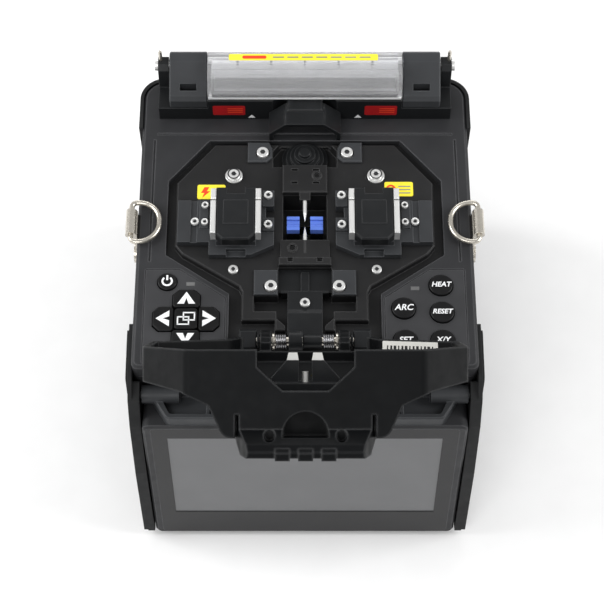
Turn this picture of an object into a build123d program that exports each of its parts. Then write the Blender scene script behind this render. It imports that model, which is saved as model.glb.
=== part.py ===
"""Bench fibre fusion splicer: windshield cover swung open over the folded-down screen.

Millimetres. X to the right, Y to the rear, Z up, origin on the ground under the middle of the body.
The cover stands open, the fibre clamps and the tube heater are shut, and the screen hangs down.
"""

from build123d import *
from math import cos, radians, sin
import os

os.makedirs("parts", exist_ok=True)

# ------------------------------------------------------------------ driving dimensions
HALF_WIDTH = 68.5  # body, without bumpers
DECK_TOP = 112.0
DECK_BOTTOM = 104.0
DECK_FRONT = -57.0
REAR = 80.0
CORNER = 9.0  # rear vertical corners of the body
WALL = 2.5
CASING_BOTTOM = 6.0
CASING_FOOT_FRONT = -64.5  # front wall of the casing leans with the screen
CASING_HEAD_FRONT = -56.0
FOOT_HEIGHT = 3.0
GROOVE_FLOOR = 108.5

FIBRE_Y = 8.0  # the fibres run along X at this depth
FIBRE_Z = 113.0
PIT_HALF = 9.0
PIT_FRONT = 0.0
PIT_REAR = 22.5
PIT_FLOOR = 100.0
PIT_WALL = 2.0

SCREEN_LEAN = 6.0  # degrees
DISPLAY_WIDTH = 110.7  # five inch, 16:9
DISPLAY_HEIGHT = 62.3
DISPLAY_TOP = (0, -75.0, 84.3)
SCREEN_AXIS = (-61.0, 96.5)  # Y, Z
SCREEN_PIN = 1.8
RUNNING = 0.05  # radial clearance of turning pins

COVER_AXIS = (-47.0, 115.0)  # Y, Z
COVER_OPEN = 120.0  # degrees from shut
COVER_WALL = 2.5
COVER_ROD = 1.9

HEATER_AXIS = (77.0, 128.0)  # Y, Z
HEATER_ROD = 1.5
HEATER_FRONT = 60.6
HEATER_HALF = 40.7  # clear lid
CLAMP_END = 56.7  # outer end of the heater clamps

RING_AXIS = (71.0, 114.2)  # X, Z of the bar that each D-ring turns on
RING_WIRE = 1.1

KEY_TOP = 113.0
KEY_BOTTOM = 109.9
PANEL_FLOOR = 109.0
KEY_GAP = 0.25

BATTERY_HALF = 38.0
BATTERY_FRONT = 16.0
BATTERY_LOW = 13.0
BATTERY_HIGH = 39.0
BATTERY_GAP = 0.5


# ------------------------------------------------------------------ shared shapes
def save(piece, name):
    """Label a finished piece and write it to its own file."""
    piece.part.label = name
    export_step(piece.part, f"parts/{name}.step")


def block(x_span, y_span, z_span, mode=Mode.ADD):
    """A box between limits, added to the part in progress or cut from it."""
    spans = (x_span, y_span, z_span)
    size = [max(span) - min(span) for span in spans]
    centre = [sum(span) / 2 for span in spans]
    with Locations(tuple(centre)):
        Box(*size, mode=mode)


def prism(plane, points, amount, corner=0.0, mode=Mode.ADD):
    """A closed outline on a plane, with rounded corners, extruded into the part in progress."""
    with BuildSketch(plane) as outline:
        with BuildLine():
            Polyline(points, close=True)
        make_face()
        if corner:
            fillet(outline.vertices(), corner)
    extrude(outline.sketch, amount=amount, mode=mode)


def both_sides(points):
    """A right-hand outline, listed from the rear centre to the front centre, with its mirror image."""
    return points + [(-x, y) for x, y in reversed(points)]


def flip(points, side):
    """A right-hand outline, on the side that is asked for."""
    return [(side * x, y) for x, y in points]


def rectangle(half_width, far, near):
    """A rectangle centred on X, between two distances along Y."""
    return [(half_width, far), (half_width, near), (-half_width, near), (-half_width, far)]


def span(side, inner, outer):
    """An X span on one side of the body."""
    return (side * inner, side * outer)


def rod_x(y, z, radius, x_span, mode=Mode.ADD):
    """A round bar along X."""
    with BuildSketch(Plane.YZ.offset(min(x_span))) as disc:
        with Locations((y, z)):
            Circle(radius)
    extrude(disc.sketch, amount=max(x_span) - min(x_span), mode=mode)


def rod_z(x, y, radius, z_span, mode=Mode.ADD):
    """A round bar along Z."""
    with BuildSketch(Plane.XY.offset(min(z_span))) as disc:
        with Locations((x, y)):
            Circle(radius)
    extrude(disc.sketch, amount=max(z_span) - min(z_span), mode=mode)


# ------------------------------------------------------------------ outlines of the deck
GROOVE_OUTER = both_sides(
    [(40.0, 49.4), (56.5, 29.5), (56.5, -6.0), (30.5, -24.0), (30.5, DECK_FRONT)]
)
PLATEAU = both_sides(
    [
        (37.5, 47.5),
        (53.0, 28.5),
        (53.0, -1.5),
        (50.0, -5.5),
        (26.5, -20.6),
        (25.4, -23.0),
        (25.4, -36.0),
        (12.0, -36.0),
        (12.0, -40.5),
    ]
)
PANEL = [(50.4, -12.6), (64.5, -12.6), (64.5, -55.0), (33.0, -55.0), (31.8, -53.8), (31.8, -25.6)]
BODY_PLAN = rectangle(HALF_WIDTH, REAR, DECK_FRONT)


# ------------------------------------------------------------------ underside and casing
PLATE_TOP = CASING_BOTTOM
SOCKET_RADIUS = 2.55  # tapping size of a quarter-inch camera thread
SOCKET_BOSS = 9.0  # the tripod boss ends level with the feet, in the ground plane
SOCKET_TOP = 13.0
PLATE_PLAN = rectangle(66.0, 77.0, -62.0)

with BuildPart() as base_plate:
    prism(Plane.XY.offset(FOOT_HEIGHT), PLATE_PLAN, PLATE_TOP - FOOT_HEIGHT, 8.0)
    rod_z(0, 0, SOCKET_BOSS, (0.0, SOCKET_TOP))
    rod_z(0, 0, SOCKET_RADIUS, (0.0, SOCKET_TOP), Mode.SUBTRACT)
save(base_plate, "base_plate")

FOOT_PLACES = [(50, -46), (-50, -46), (50, 62), (-50, 62)]
with BuildPart() as rubber_feet:
    for foot_x, foot_y in FOOT_PLACES:
        rod_z(foot_x, foot_y, 7.0, (0.0, FOOT_HEIGHT))
    chamfer(rubber_feet.faces().sort_by(Axis.Z)[:4].edges(), 0.8)
save(rubber_feet, "rubber_feet")


def casing_profile(inset):
    """Side view of the casing, with its walls moved inward."""
    return [
        (CASING_FOOT_FRONT + inset, CASING_BOTTOM),
        (CASING_HEAD_FRONT + inset, DECK_BOTTOM),
        (REAR - inset, DECK_BOTTOM),
        (REAR - inset, CASING_BOTTOM),
    ]


SLEEVE_HALF = BATTERY_HALF + BATTERY_GAP + WALL
SLEEVE_LOW = BATTERY_LOW - BATTERY_GAP
SLEEVE_HIGH = BATTERY_HIGH + BATTERY_GAP
SLEEVE_FRONT = BATTERY_FRONT - BATTERY_GAP
PORT_HALF = 44.0
PORT_LOW = 50.0
PORT_HIGH = 92.0

with BuildPart() as casing_cavity:
    prism(Plane.YZ.offset(WALL - HALF_WIDTH), casing_profile(WALL), 2 * (HALF_WIDTH - WALL))
    fillet(casing_cavity.edges().filter_by(Axis.Z).group_by(Axis.Y)[-1], CORNER - WALL)

with BuildPart() as lower_casing:
    prism(Plane.YZ.offset(-HALF_WIDTH), casing_profile(0), 2 * HALF_WIDTH)
    rear_corners = lower_casing.edges().filter_by(Axis.Z).group_by(Axis.Y)[-1]
    fillet(rear_corners, CORNER)
    front_corners = lower_casing.faces().sort_by(Axis.Y)[0].edges().group_by(Axis.X)
    fillet(front_corners[0] + front_corners[-1], 3.0)
    add(casing_cavity.part, mode=Mode.SUBTRACT)
    sleeve_depth = (SLEEVE_FRONT - WALL, REAR - WALL)
    block((-SLEEVE_HALF, SLEEVE_HALF), sleeve_depth, (SLEEVE_LOW - WALL, SLEEVE_HIGH + WALL))
    block(
        (-BATTERY_HALF - BATTERY_GAP, BATTERY_HALF + BATTERY_GAP),
        (SLEEVE_FRONT, REAR),
        (SLEEVE_LOW, SLEEVE_HIGH),
        Mode.SUBTRACT,
    )
    block((-PORT_HALF, PORT_HALF), (REAR - WALL, REAR), (PORT_LOW, PORT_HIGH), Mode.SUBTRACT)
    with BuildSketch(Plane.YZ.offset(-HALF_WIDTH)) as vents:
        with GridLocations(6.0, 0, 8, 1):
            with Locations((20.0, 60.0)):
                SlotCenterToCenter(22.0, 2.4, rotation=90)
    extrude(vents.sketch, amount=2 * HALF_WIDTH, mode=Mode.SUBTRACT)
save(lower_casing, "lower_casing")

INLET = (-26.0, 66.0)  # X, Z
INLET_RADIUS = 5.5
INLET_DEPTH = 13.0
USB = (4.0, 66.0)

with BuildPart() as rear_panel:
    block((-PORT_HALF, PORT_HALF), (REAR - WALL, REAR), (PORT_LOW, PORT_HIGH))
    with BuildSketch(Plane.XZ.offset(-REAR)) as ports:
        with Locations(INLET):
            Circle(INLET_RADIUS)
        with Locations(USB):
            RectangleRounded(9.0, 3.6, 1.6)
        with Locations((30.0, 72.0)):
            with GridLocations(0, 3.6, 1, 7):
                SlotOverall(20.0, 1.6)
    extrude(ports.sketch, amount=WALL, mode=Mode.SUBTRACT)
    with BuildSketch(Plane.XZ.offset(WALL - REAR)) as barrel:
        with Locations(INLET):
            Circle(INLET_RADIUS + 1.5)
            Circle(3.1, mode=Mode.SUBTRACT)
            Circle(1.0)
    extrude(barrel.sketch, amount=INLET_DEPTH)
    with BuildSketch(Plane.XZ.offset(WALL - REAR + INLET_DEPTH)) as barrel_end:
        with Locations(INLET):
            Circle(INLET_RADIUS + 1.5)
    extrude(barrel_end.sketch, amount=1.5)
save(rear_panel, "rear_panel")

with BuildPart() as battery_pack:
    block((-BATTERY_HALF, BATTERY_HALF), (BATTERY_FRONT, REAR - 0.6), (BATTERY_LOW, BATTERY_HIGH))
    fillet(battery_pack.edges().filter_by(Axis.Y), 2.0)
    pull_slot = (BATTERY_LOW + 9.0, BATTERY_HIGH - 9.0)
    block((-14, 14), (REAR - 5.0, REAR), pull_slot, Mode.SUBTRACT)
save(battery_pack, "battery_pack")


# ------------------------------------------------------------------ deck
LUG_SPAN = (2.0, 13.6)

with BuildPart() as top_deck:
    prism(Plane.XY.offset(DECK_BOTTOM), BODY_PLAN, DECK_TOP - DECK_BOTTOM)
    fillet(top_deck.edges().filter_by(Axis.Z).group_by(Axis.Y)[-1], CORNER)
    fillet(top_deck.edges().filter_by(Axis.Z).group_by(Axis.Y)[0], 3.0)
    chamfer(top_deck.faces().sort_by(Axis.Z)[-1].edges(), 1.2)
    prism(Plane.XY.offset(DECK_BOTTOM), GROOVE_OUTER, DECK_TOP - DECK_BOTTOM, mode=Mode.SUBTRACT)
    block((-30.5, 30.5), (DECK_FRONT - 1, -40), (DECK_BOTTOM, DECK_TOP), Mode.SUBTRACT)
    for side in (-1, 1):
        prism(Plane.XY.offset(PANEL_FLOOR), flip(PANEL, side), DECK_TOP - PANEL_FLOOR, 0.8, Mode.SUBTRACT)
        block(span(side, 62.6, 63.4), (-9.0, 50.0), (DECK_TOP - 0.6, DECK_TOP), Mode.SUBTRACT)
    block((-62, 62), (52.4, 53.2), (DECK_TOP - 0.6, DECK_TOP), Mode.SUBTRACT)
save(top_deck, "top_deck")

RECESS_FLOOR = 106.5
WINDOW_HALF = 4.0

with BuildPart() as splice_deck:
    prism(Plane.XY.offset(DECK_BOTTOM), GROOVE_OUTER, GROOVE_FLOOR - DECK_BOTTOM)
    prism(Plane.XY.offset(GROOVE_FLOOR), PLATEAU, DECK_TOP - GROOVE_FLOOR)
    plateau_rim = splice_deck.faces().sort_by(Axis.Z)[-1].edges()
    chamfer(plateau_rim, 0.5)
    tub = (PIT_HALF + PIT_WALL, PIT_FRONT - PIT_WALL, PIT_REAR + PIT_WALL, PIT_FLOOR - PIT_WALL)
    block((-tub[0], tub[0]), (tub[1], tub[2]), (tub[3], DECK_BOTTOM))
    block((-PIT_HALF, PIT_HALF), (PIT_FRONT, PIT_REAR), (PIT_FLOOR, DECK_TOP), Mode.SUBTRACT)
    for window_y in (FIBRE_Y - 4.5, FIBRE_Y + 4.5):
        block(
            (-WINDOW_HALF, WINDOW_HALF),
            (window_y - 2.0, window_y + 2.0),
            (tub[3], PIT_FLOOR),
            Mode.SUBTRACT,
        )
    block((-20.6, 20.6), (-32.0, -25.0), (RECESS_FLOOR, DECK_TOP), Mode.SUBTRACT)
    block((-10.8, 10.8), (-25.0, -12.0), (RECESS_FLOOR, DECK_TOP), Mode.SUBTRACT)
    throat = both_sides([(11.5, -32.0), (11.5, -35.0), (8.0, -38.5), (8.0, -41.0)])
    prism(Plane.XY.offset(RECESS_FLOOR), throat, DECK_TOP - RECESS_FLOOR, mode=Mode.SUBTRACT)
    arch_hollow = both_sides([(10.0, 48.6), (13.4, 44.0), (13.4, 36.2)])
    prism(Plane.XY.offset(RECESS_FLOOR), arch_hollow, DECK_TOP - RECESS_FLOOR, mode=Mode.SUBTRACT)
save(splice_deck, "splice_deck")


# ------------------------------------------------------------------ keypads
DPAD = (-47.4, -35.6)
DPAD_REACH = 13.25
DPAD_ARM = 5.5
CENTRE_KEY = 4.6
KEY_SLIT = 0.5
ROUND_KEYS = {
    "key_power": (-55.4, -18.7, 3.9),
    "key_heat": (54.6, -20.2, 4.8),
    "key_arc": (39.4, -30.7, 4.8),
    "key_reset": (54.7, -32.5, 4.8),
    "key_set": (39.7, -45.2, 4.8),
    "key_axis": (54.5, -45.2, 4.8),
}
LEDS = {-1: (-46.0, -19.5), 1: (44.2, -21.5)}
LED_LENGTH = 3.4
LED_WIDTH = 1.6

arrow_inner = CENTRE_KEY + KEY_SLIT
ARROW_KEYS = {"key_up": 90, "key_down": -90, "key_left": 180, "key_right": 0}


def arrow_outline(grow):
    """One arm of the four-way pad, pointing along +X from the pad's centre."""
    low, high, half = arrow_inner - grow, DPAD_REACH + grow, DPAD_ARM + grow
    mitre = KEY_SLIT - 2 * grow
    upper = [(low, low - mitre), (half + mitre, half), (high - 2.5, half), (high, half - 2.5)]
    return upper + [(x, -y) for x, y in reversed(upper)]


def turned(points, degrees):
    """The four-way pad's outline, turned and moved to its centre."""
    c, s = cos(radians(degrees)), sin(radians(degrees))
    return [(DPAD[0] + c * x - s * y, DPAD[1] + s * x + c * y) for x, y in points]


def key_cap(outline):
    """A key with a soft top edge, from its outline in plan."""
    with BuildPart() as cap:
        extrude(outline.sketch, amount=KEY_TOP - KEY_BOTTOM)
        fillet(cap.faces().sort_by(Axis.Z)[-1].edges(), 0.5)
    return cap


for side, name in ((-1, "keypad_panel_left"), (1, "keypad_panel_right")):
    with BuildPart() as keypad_panel:
        prism(Plane.XY.offset(PANEL_FLOOR), flip(PANEL, side), DECK_TOP - PANEL_FLOOR, 0.8)
        chamfer(keypad_panel.faces().sort_by(Axis.Z)[-1].edges(), 0.35)
        for key_x, key_y, key_radius in ROUND_KEYS.values():
            if key_x * side > 0:
                rod_z(key_x, key_y, key_radius + KEY_GAP, (PANEL_FLOOR, DECK_TOP), Mode.SUBTRACT)
        if side < 0:
            for heading in ARROW_KEYS.values():
                opening = turned(arrow_outline(KEY_GAP), heading)
                prism(Plane.XY.offset(PANEL_FLOOR), opening, DECK_TOP - PANEL_FLOOR, mode=Mode.SUBTRACT)
            reach = arrow_inner + KEY_GAP
            block(
                (DPAD[0] - reach, DPAD[0] + reach),
                (DPAD[1] - reach, DPAD[1] + reach),
                (PANEL_FLOOR, DECK_TOP),
                Mode.SUBTRACT,
            )
        led_x, led_y = LEDS[side]
        block(
            (led_x - LED_LENGTH / 2, led_x + LED_LENGTH / 2),
            (led_y - LED_WIDTH / 2, led_y + LED_WIDTH / 2),
            (PANEL_FLOOR, DECK_TOP),
            Mode.SUBTRACT,
        )
    save(keypad_panel, name)

for name, (key_x, key_y, key_radius) in ROUND_KEYS.items():
    with BuildSketch(Plane.XY.offset(KEY_BOTTOM)) as key_plan:
        with Locations((key_x, key_y)):
            Circle(key_radius)
    save(key_cap(key_plan), name)

for name, heading in ARROW_KEYS.items():
    with BuildSketch(Plane.XY.offset(KEY_BOTTOM)) as key_plan:
        with BuildLine():
            Polyline(turned(arrow_outline(0), heading), close=True)
        make_face()
    save(key_cap(key_plan), name)

with BuildSketch(Plane.XY.offset(KEY_BOTTOM)) as key_plan:
    with Locations(DPAD):
        RectangleRounded(2 * CENTRE_KEY, 2 * CENTRE_KEY, 1.2)
save(key_cap(key_plan), "key_menu")

with BuildPart() as status_lamps:
    for led_x, led_y in LEDS.values():
        block(
            (led_x - LED_LENGTH / 2, led_x + LED_LENGTH / 2),
            (led_y - LED_WIDTH / 2, led_y + LED_WIDTH / 2),
            (PANEL_FLOOR, DECK_TOP + 0.1),
        )
save(status_lamps, "status_lamps")


# ------------------------------------------------------------------ side guards and bumpers
GUARD_OUTER = 70.2
GUARD_INNER = 65.6
BULGE = 71.2
GUARD_PROFILE = [
    (-83.5, 4.0),
    (-78.0, 56.0),
    (-71.5, 88.0),
    (-66.0, 101.0),
    (-58.0, 107.0),
    (-36.0, 109.0),
    (-33.5, 104.0),
    (-33.5, 68.0),
    (-46.0, 44.0),
    (-52.0, 4.0),
]
GUARD_FRONT_PROFILE = [
    (-83.5, 4.0),
    (-78.0, 56.0),
    (-71.5, 88.0),
    (-66.0, 101.0),
    (-58.0, 103.6),
    (-64.9, 4.0),
]
BULGE_PROFILE = [(-58.0, 104.0), (-36.5, 106.0), (-36.5, 70.0), (-50.0, 66.0), (-61.0, 84.0)]

with BuildPart() as front_guards:
    for side in (-1, 1):
        prism(Plane.YZ.offset(side * HALF_WIDTH), GUARD_PROFILE, side * (GUARD_OUTER - HALF_WIDTH), 2.0)
        guard_thick = side * (HALF_WIDTH - GUARD_INNER)
        prism(Plane.YZ.offset(side * GUARD_INNER), GUARD_FRONT_PROFILE, guard_thick, 1.0)
        prism(Plane.YZ.offset(side * GUARD_OUTER), BULGE_PROFILE, side * (BULGE - GUARD_OUTER), 2.0)
        rod_x(*SCREEN_AXIS, SCREEN_PIN + RUNNING, span(side, GUARD_INNER, HALF_WIDTH), Mode.SUBTRACT)
save(front_guards, "front_guards")

BUMPER_LOW = 88.0
BUMPER_PROUD = 1.6
BUMPER_FRONT = 56.0

with BuildPart() as rear_bumpers:
    bumper_plan = rectangle(HALF_WIDTH, REAR, BUMPER_FRONT)
    with BuildSketch(Plane.XY.offset(BUMPER_LOW)) as bumper_ring:
        with BuildLine():
            Polyline(bumper_plan, close=True)
        make_face()
        fillet(bumper_ring.vertices().group_by(Axis.Y)[-1], CORNER)
        offset(amount=BUMPER_PROUD, kind=Kind.INTERSECTION)
        with BuildSketch(mode=Mode.SUBTRACT) as body_plan:
            with BuildLine():
                Polyline(bumper_plan, close=True)
            make_face()
            fillet(body_plan.vertices().group_by(Axis.Y)[-1], CORNER)
        with Locations((0, REAR)):
            Rectangle(2 * 56.0, 90.0, mode=Mode.SUBTRACT)
        with Locations((0, BUMPER_FRONT - 5.0)):
            Rectangle(200.0, 10.0, mode=Mode.SUBTRACT)
    extrude(bumper_ring.sketch, amount=DECK_TOP - BUMPER_LOW)
save(rear_bumpers, "rear_bumpers")


# ------------------------------------------------------------------ inside the body
POST_HALF = 4.0
POST_X = 54.0
POST_Y = (-40.0, 50.0)
FRAME_BOTTOM = 100.0
BOARD_BOTTOM = 60.0
BOARD_TOP = 61.6
BARREL_RADIUS = 7.0
SIN_45 = sin(radians(45.0))
BARREL_START = 30.0  # distance from the fibre
BARREL_END = 56.0

with BuildPart() as chassis_frame:
    prism(Plane.XY.offset(FRAME_BOTTOM), rectangle(58.0, 55.0, -46.0), DECK_BOTTOM - FRAME_BOTTOM)
    for post_x in (-POST_X, POST_X):
        for post_y in POST_Y:
            block(
                (post_x - POST_HALF, post_x + POST_HALF),
                (post_y - POST_HALF, post_y + POST_HALF),
                (PLATE_TOP, FRAME_BOTTOM),
            )
    for side in (-1, 1):
        block(span(side, BARREL_RADIUS + 0.05, 10.0), (-30.0, 46.0), (78.0, FRAME_BOTTOM))
    block(
        (-tub[0] - 0.1, tub[0] + 0.1),
        (tub[1] - 0.1, tub[2] + 0.1),
        (tub[3] - 0.1, DECK_BOTTOM),
        Mode.SUBTRACT,
    )
save(chassis_frame, "chassis_frame")

with BuildPart() as main_board:
    block((-50, 50), (-38, 50), (BOARD_BOTTOM, BOARD_TOP))
    for chip_x, chip_y, chip_width, chip_depth, chip_height in (
        (20, 10, 22, 22, 2.0),
        (34, -18, 14, 10, 1.4),
        (6, 38, 12, 8, 1.4),
        (-20, 24, 16, 16, 1.8),
        (36, 36, 18, 7, 6.0),
    ):
        block(
            (chip_x - chip_width / 2, chip_x + chip_width / 2),
            (chip_y - chip_depth / 2, chip_y + chip_depth / 2),
            (BOARD_TOP, BOARD_TOP + chip_height),
        )
save(main_board, "main_board")

with BuildPart() as arc_transformer:
    block((-40, -18), (-30, -12), (BOARD_TOP, BOARD_TOP + 16.0))
    fillet(arc_transformer.edges().filter_by(Axis.Z), 1.5)
save(arc_transformer, "arc_transformer")

with BuildPart() as microscope_cameras:
    for lean in (-1, 1):
        barrel_plane = Plane(
            origin=(0, FIBRE_Y + lean * BARREL_START * SIN_45, FIBRE_Z - BARREL_START * SIN_45),
            x_dir=(1, 0, 0),
            z_dir=(0, lean, -1),
        )
        with BuildSketch(barrel_plane) as lens_tube:
            Circle(BARREL_RADIUS)
        extrude(lens_tube.sketch, amount=BARREL_END - BARREL_START)
        with BuildSketch(barrel_plane) as lens_bore:
            Circle(5.0)
        extrude(lens_bore.sketch, amount=4.0, mode=Mode.SUBTRACT)
        with BuildSketch(barrel_plane.offset(BARREL_END - BARREL_START)) as sensor_board:
            RectangleRounded(18.0, 18.0, 1.0)
        extrude(sensor_board.sketch, amount=1.6)
save(microscope_cameras, "microscope_cameras")


# ------------------------------------------------------------------ splicing centre
HOLDER_TOP = 114.5
ELECTRODE_RADIUS = 0.8
EAR_TOP = 113.3
SOCKET_HEAD = 2.5
EAR_SCREWS = [(-17.6, 42.6), (17.6, 42.6), (-13.7, -21.2), (13.7, -21.2)]

REAR_EAR = [(23.9, 48.0), (23.9, 38.2), (16.0, 38.2), (13.6, 40.4), (13.6, 45.0), (15.0, 48.0)]
FRONT_EAR = [(20.6, -13.5), (20.6, -25.0), (11.0, -25.0), (11.0, -13.5)]
with BuildPart() as bridge_ears:
    for side in (-1, 1):
        for ear in (REAR_EAR, FRONT_EAR):
            prism(Plane.XY.offset(DECK_TOP), flip(ear, side), EAR_TOP - DECK_TOP)
    chamfer(bridge_ears.faces().group_by(Axis.Z)[-1].edges(), 0.4)
    for screw_x, screw_y in EAR_SCREWS:
        rod_z(screw_x, screw_y, SOCKET_HEAD + 0.5, (DECK_TOP, EAR_TOP), Mode.SUBTRACT)
save(bridge_ears, "bridge_ears")

ARM_TOP = DECK_TOP - 0.4
SMALL_SCREWS = [(-29.0, -13.0, DECK_TOP), (29.0, -13.0, DECK_TOP), (0.0, -28.0, ARM_TOP)]
WASHER_SCREWS = [(-29.5, 31.8), (29.5, 31.8)]
with BuildPart() as deck_screws:
    for screw_x, screw_y, seat_z in SMALL_SCREWS:
        rod_z(screw_x, screw_y, 2.0, (seat_z, seat_z + 1.0))
    for screw_x, screw_y in WASHER_SCREWS:
        rod_z(screw_x, screw_y, 3.6, (DECK_TOP, DECK_TOP + 0.8))
        rod_z(screw_x, screw_y, 2.3, (DECK_TOP + 0.8, DECK_TOP + 2.2))
    for screw_x, screw_y in EAR_SCREWS:
        rod_z(screw_x, screw_y, SOCKET_HEAD, (DECK_TOP, DECK_TOP + 2.2))
    rims = deck_screws.faces().filter_by(Axis.Z).filter_by(lambda face: face.normal_at().Z > 0)
    chamfer(rims.edges().filter_by(GeomType.CIRCLE), 0.25)
    for screw_x, screw_y, seat_z in SMALL_SCREWS:
        with BuildSketch(Plane.XY.offset(seat_z + 1.0)) as cross:
            with Locations((screw_x, screw_y)):
                Rectangle(2.0, 0.5)
                Rectangle(0.5, 2.0)
        extrude(cross.sketch, amount=-0.5, mode=Mode.SUBTRACT)
    for screw_x, screw_y in WASHER_SCREWS + EAR_SCREWS:
        with BuildSketch(Plane.XY.offset(DECK_TOP + 2.2)) as hexagon:
            with Locations((screw_x, screw_y)):
                RegularPolygon(1.2, 6)
        extrude(hexagon.sketch, amount=-1.2, mode=Mode.SUBTRACT)
save(deck_screws, "deck_screws")

with BuildPart() as electrode_holders:
    block((-9.3, 9.3), (PIT_REAR, 36.0), (DECK_TOP, HOLDER_TOP))
    block((-10.0, 10.0), (-8.3, PIT_FRONT), (DECK_TOP, HOLDER_TOP - 0.6))
    block((-10.7, 10.7), (-11.9, -8.3), (DECK_TOP, HOLDER_TOP))
    chamfer(electrode_holders.faces().group_by(Axis.Z)[-1].edges(), 0.4)
    for slot_x in (-4.3, 4.6):
        for slot_y in (27.2, 33.4):
            slot_depth = (HOLDER_TOP - 1.2, HOLDER_TOP)
            block((slot_x - 1.3, slot_x + 1.3), (slot_y - 0.5, slot_y + 0.5), slot_depth, Mode.SUBTRACT)
    for hole_x in (-6.0, 6.0):
        block((hole_x - 1.1, hole_x + 1.1), (-10.4, -8.3), (HOLDER_TOP - 1.6, HOLDER_TOP), Mode.SUBTRACT)
    for screw_x, screw_y, seat_z in ((5.0, 30.6, HOLDER_TOP), (-5.1, -3.8, HOLDER_TOP - 0.6)):
        rod_z(screw_x, screw_y, 2.1, (seat_z, seat_z + 0.5))
        rod_z(screw_x, screw_y, 1.3, (seat_z - 0.6, seat_z + 0.5), Mode.SUBTRACT)
    block((-2.2, 2.2), (19.0, PIT_REAR), (DECK_TOP - 0.6, HOLDER_TOP - 0.4))
    for seat_y, depth in ((19.0, 6.0), (PIT_FRONT, -6.0)):
        with BuildSketch(Plane.XZ.offset(-seat_y)) as seat:
            with Locations((0, FIBRE_Z)):
                Circle(ELECTRODE_RADIUS)
        extrude(seat.sketch, amount=-depth, mode=Mode.SUBTRACT)
save(electrode_holders, "electrode_holders")

ELECTRODE_GAP = 1.0
with BuildPart() as electrodes:
    for root_y, lean in ((22.0, 1), (-3.0, -1)):
        tip_y = FIBRE_Y + lean * ELECTRODE_GAP
        with BuildSketch(Plane.YZ) as half_section:
            with BuildLine():
                Polyline(
                    [
                        (tip_y, FIBRE_Z),
                        (tip_y + lean * 4.0, FIBRE_Z + ELECTRODE_RADIUS),
                        (root_y, FIBRE_Z + ELECTRODE_RADIUS),
                        (root_y, FIBRE_Z),
                    ],
                    close=True,
                )
            make_face()
        revolve(half_section.sketch, axis=Axis((0, 0, FIBRE_Z), (0, 1, 0)))
save(electrodes, "electrodes")

VBLOCK_TOP = FIBRE_Z - 0.2
with BuildPart() as vgroove_blocks:
    for side in (-1, 1):
        block(span(side, 2.2, 7.4), (FIBRE_Y - 3.2, FIBRE_Y + 3.2), (PIT_FLOOR, VBLOCK_TOP))
        block(span(side, 2.2, 7.4), (FIBRE_Y - 3.2, FIBRE_Y - 1.7), (VBLOCK_TOP, VBLOCK_TOP + 0.9))
        block(span(side, 2.2, 7.4), (FIBRE_Y + 1.7, FIBRE_Y + 3.2), (VBLOCK_TOP, VBLOCK_TOP + 0.9))
        groove = [(FIBRE_Y - 0.3, VBLOCK_TOP), (FIBRE_Y + 0.3, VBLOCK_TOP), (FIBRE_Y, VBLOCK_TOP - 0.3)]
        prism(Plane.YZ.offset(side * 2.2), groove, side * 5.2, mode=Mode.SUBTRACT)
save(vgroove_blocks, "vgroove_blocks")

DOME_CENTRE = (0.0, 42.4)
with BuildPart() as lens_dome:
    for step in range(5):
        rod_z(*DOME_CENTRE, 9.6 - 1.75 * step, (RECESS_FLOOR + 1.6 * step, RECESS_FLOOR + 1.6 * (step + 1)))
    fillet(lens_dome.edges().filter_by(GeomType.CIRCLE).group_by(Axis.Z)[-1], 0.6)
    block((-20, 20), (48.6, 60.0), (100, 130), Mode.SUBTRACT)
    block((-20, 20), (20.0, 36.2), (100, 130), Mode.SUBTRACT)
save(lens_dome, "lens_dome")

BRIDGE_TOP = 125.0
with BuildPart() as camera_bridge:
    with BuildSketch(Plane.XZ.offset(-49.6)) as tunnel:
        with BuildLine():
            Polyline(both_sides([(8.0, 124.0), (15.0, 117.0), (15.0, DECK_TOP)]), close=True)
        make_face()
        fillet(tunnel.vertices().group_by(Axis.Y)[-1], 2.5)
    extrude(tunnel.sketch, amount=-(60.4 - 49.6))
    with BuildSketch(Plane.XZ.offset(-49.6)) as mouth:
        with BuildLine():
            Polyline(both_sides([(7.0, 122.6), (13.2, 116.2), (13.2, DECK_TOP)]), close=True)
        make_face()
        fillet(mouth.vertices().group_by(Axis.Y)[-1], 2.0)
    extrude(mouth.sketch, amount=-7.0, mode=Mode.SUBTRACT)
    block((-7.4, 7.4), (56.0, 64.4), (118.0, BRIDGE_TOP))
    chamfer(camera_bridge.faces().sort_by(Axis.Z)[-1].edges(), 0.5)
save(camera_bridge, "camera_bridge")

with BuildPart() as centre_arm:
    block((-10.8, 10.8), (-22.4, -12.0), (RECESS_FLOOR, DECK_TOP - 2.0))
    block((-9.5, 9.5), (-23.4, -22.4), (RECESS_FLOOR, ARM_TOP))
    block((-1.6, 1.6), (-22.4, -13.5), (DECK_TOP - 2.0, DECK_TOP - 1.0))
    arm_profile = [
        (-23.4, RECESS_FLOOR),
        (-23.4, ARM_TOP),
        (-31.0, ARM_TOP),
        (-33.0, DECK_TOP + 0.6),
        (-40.0, DECK_TOP + 0.6),
        (-44.5, DECK_TOP + 0.0),
        (-44.5, GROOVE_FLOOR),
        (-40.9, GROOVE_FLOOR),
        (-40.9, RECESS_FLOOR),
    ]
    prism(Plane.YZ.offset(-7.0), arm_profile, 14.0)
    rod_x(*COVER_AXIS, 4.2, (-6.4, -1.0))
    block((-6.4, -1.0), (-47.0, -43.0), (GROOVE_FLOOR, COVER_AXIS[1]))
    rod_x(*COVER_AXIS, COVER_ROD, (-20, 20), Mode.SUBTRACT)
save(centre_arm, "centre_arm")


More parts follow.
